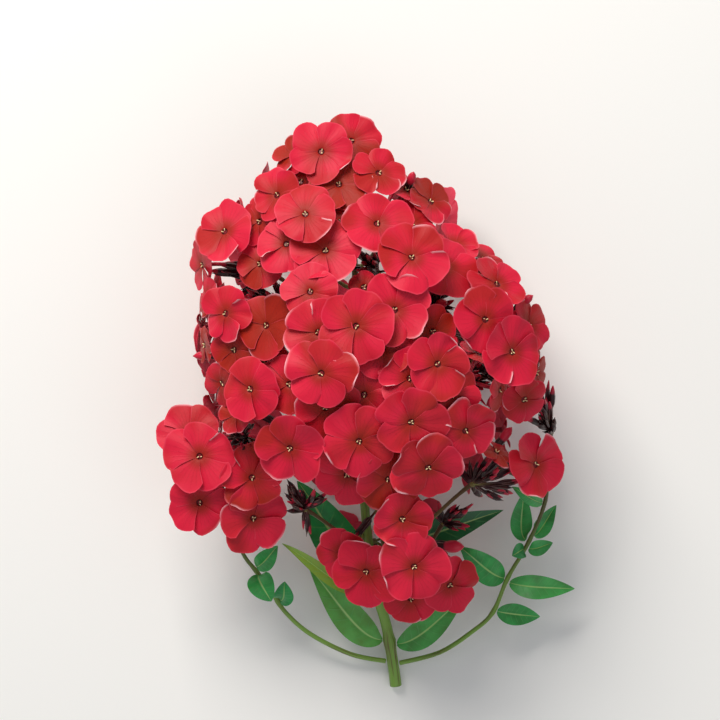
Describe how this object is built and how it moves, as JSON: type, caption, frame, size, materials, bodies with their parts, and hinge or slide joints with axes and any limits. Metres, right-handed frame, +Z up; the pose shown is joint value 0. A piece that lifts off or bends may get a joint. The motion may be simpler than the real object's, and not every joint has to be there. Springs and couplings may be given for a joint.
{
  "type": "phlox plant",
  "caption": "Cut flowering shoot of a garden phlox lying on a surface, with a pyramid head of red five-petalled flowers, side heads, buds, opposite leaves and a branched stem.",
  "frame": {"origin": "bottom centre of the bounding box: the surface that the shoot lies on, under the middle of the shoot", "axes": "+Y runs from the cut end to the tip of the head, +Z points up from the surface, +X to the right when the shoot is seen from above with its tip away from the viewer"},
  "size_m": [0.1833, 0.2549, 0.1258],
  "materials": {
    "petals": "satin",
    "calyx": "satin",
    "stem": "satin",
    "leaf": "satin"
  },
  "bodies": {
    "root": {"stem_main": "stem", "stem_left": "stem", "stem_right": "stem", "cyme_top": "petals", "cyme_top_left": "petals", "cyme_top_middle": "petals", "cyme_top_right": "petals", "cyme_upper_left": "petals", "cyme_upper_middle": "petals", "cyme_upper_right": "petals", "cyme_shoulder_left": "petals", "cyme_left": "petals", "cyme_centre_left": "petals", "cyme_centre": "petals", "cyme_centre_right": "petals", "cyme_right": "petals", "cyme_right_edge": "petals", "cyme_lower_right": "petals", "cyme_middle_left": "petals", "cyme_left_edge": "petals", "cyme_middle": "petals", "cyme_lower_middle": "petals", "cyme_lower_centre": "petals", "cyme_low_right": "petals", "cyme_low_middle": "petals", "cyme_base_left": "petals", "cyme_base_right": "petals", "side_cyme_left": "petals", "side_cyme_middle": "petals", "side_cyme_right": "petals", "under_cyme_top_left": "petals", "under_cyme_top_right": "petals", "under_cyme_upper_left": "petals", "under_cyme_upper_right": "petals", "under_cyme_lower_left": "petals", "under_cyme_lower_right": "petals", "under_cyme_base": "petals", "buds_right_gap": "calyx", "buds_low_right": "calyx", "buds_right_edge": "calyx", "buds_middle_gap": "calyx", "buds_upper_gap": "calyx", "buds_left_gap": "calyx", "buds_low_left": "calyx", "leaf_head_low_left": "leaf", "leaf_head_left": "leaf", "leaf_head_right": "leaf", "leaf_main_left": "leaf", "leaf_main_right": "leaf", "leaf_left_node_inner": "leaf", "leaf_left_node_outer": "leaf", "leaf_left_low": "leaf", "leaf_right_hanging": "leaf", "leaf_right_upper": "leaf", "leaf_right_small": "leaf", "leaf_right_front": "leaf", "leaf_right_top": "leaf", "leaf_right_inner": "leaf", "leaf_right_outer": "leaf", "leaf_right_low_outer": "leaf"}
  },
  "joints": []
}
